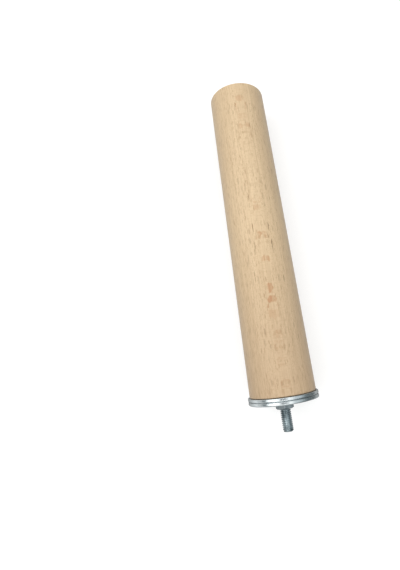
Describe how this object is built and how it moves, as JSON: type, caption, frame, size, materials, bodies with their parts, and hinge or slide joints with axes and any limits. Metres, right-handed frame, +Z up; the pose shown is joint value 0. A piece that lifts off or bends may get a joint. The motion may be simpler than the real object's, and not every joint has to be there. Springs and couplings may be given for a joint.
{
  "type": "bird perch",
  "caption": "Straight round wooden perch with a threaded stud in one end; two wide washers and a hex nut on the stud clamp it to the bars of a cage.",
  "frame": {"origin": "on the stud's axis, in the plane where the two washers meet, which is where the cage's bars are gripped", "axes": "+X along the perch to its free end, level as in use; the stud points along -X; +Z up, towards one corner of the nut"},
  "size_m": [0.1741, 0.0318, 0.0318],
  "materials": {
    "beech": "sanded bare beech, fine grain with short darker ray flecks",
    "zinc_bolt": "bright zinc plate over a rolled thread",
    "zinc_washer": "bright zinc plate over tumbled steel",
    "zinc_nut": "bright zinc plate"
  },
  "bodies": {
    "perch": {"perch_dowel": "beech", "hanger_bolt": "zinc_bolt"},
    "inner_washer": {"inner_washer": "zinc_washer"},
    "outer_washer": {"outer_washer": "zinc_washer"},
    "nut": {"hex_nut": "zinc_nut"}
  },
  "joints": [
    {"name": "inner_washer_spin", "type": "hinge", "parent": "perch", "child": "inner_washer", "pos_m": [0, 0, 0], "axis": [1, 0, 0], "continuous": true},
    {"name": "outer_washer_slide", "type": "slide", "parent": "perch", "child": "outer_washer", "axis": [-1, 0, 0], "range_m": [0, 0.00853]},
    {"name": "nut_turn", "type": "hinge", "parent": "outer_washer", "child": "nut", "pos_m": [0, 0, 0], "axis": [-1, 0, 0], "range_deg": [0, 3870]}
  ],
  "couplings": [
    {"joint": "nut_turn", "follows": "outer_washer_slide", "rad_per_m": 7915.8}
  ]
}
